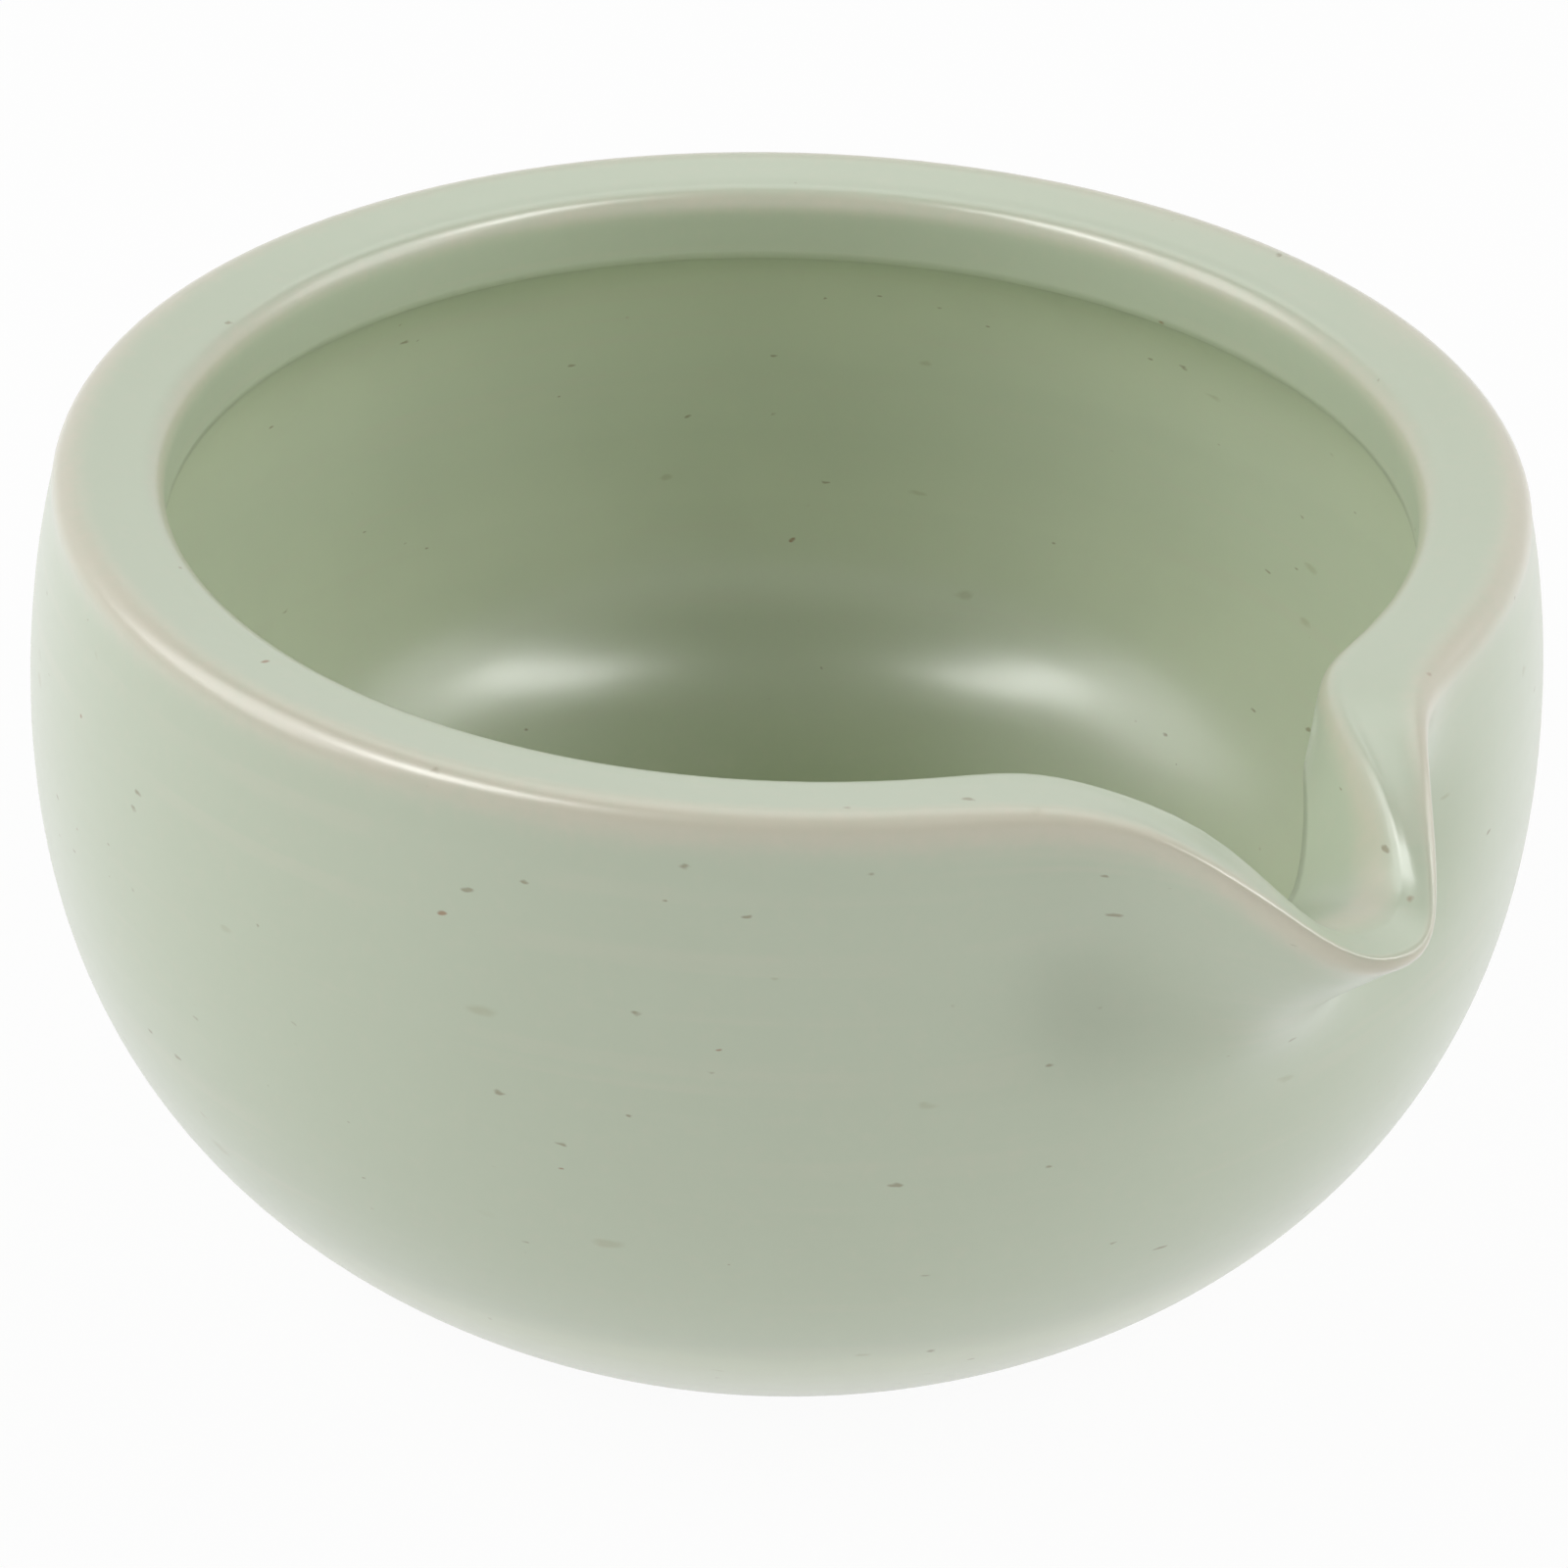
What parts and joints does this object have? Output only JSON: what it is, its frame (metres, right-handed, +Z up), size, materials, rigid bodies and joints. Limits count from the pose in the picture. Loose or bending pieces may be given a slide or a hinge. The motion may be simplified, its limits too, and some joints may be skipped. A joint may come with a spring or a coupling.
{
  "type": "spouted tea bowl",
  "caption": "Round stoneware tea bowl with a thick turned-in lip, a pulled pouring spout, a pale green satin glaze and a bare clay foot ring.",
  "frame": {"origin": "on the table under the middle of the whole bowl, spout included; the wall's own axis stands 6.84 mm towards -X from it", "axes": "+Z up, +X the way the spout pours"},
  "size_m": [0.1434, 0.1296, 0.067],
  "materials": {
    "bare_clay": "unglazed, matt, fine sandy grain",
    "green_glaze": "satin celadon glaze, breaking to cream on the edges, with fine iron specks"
  },
  "bodies": {
    "root": {"clay_body": "bare_clay", "glaze_coat": "green_glaze", "foot_well_glaze": "green_glaze"}
  },
  "joints": []
}
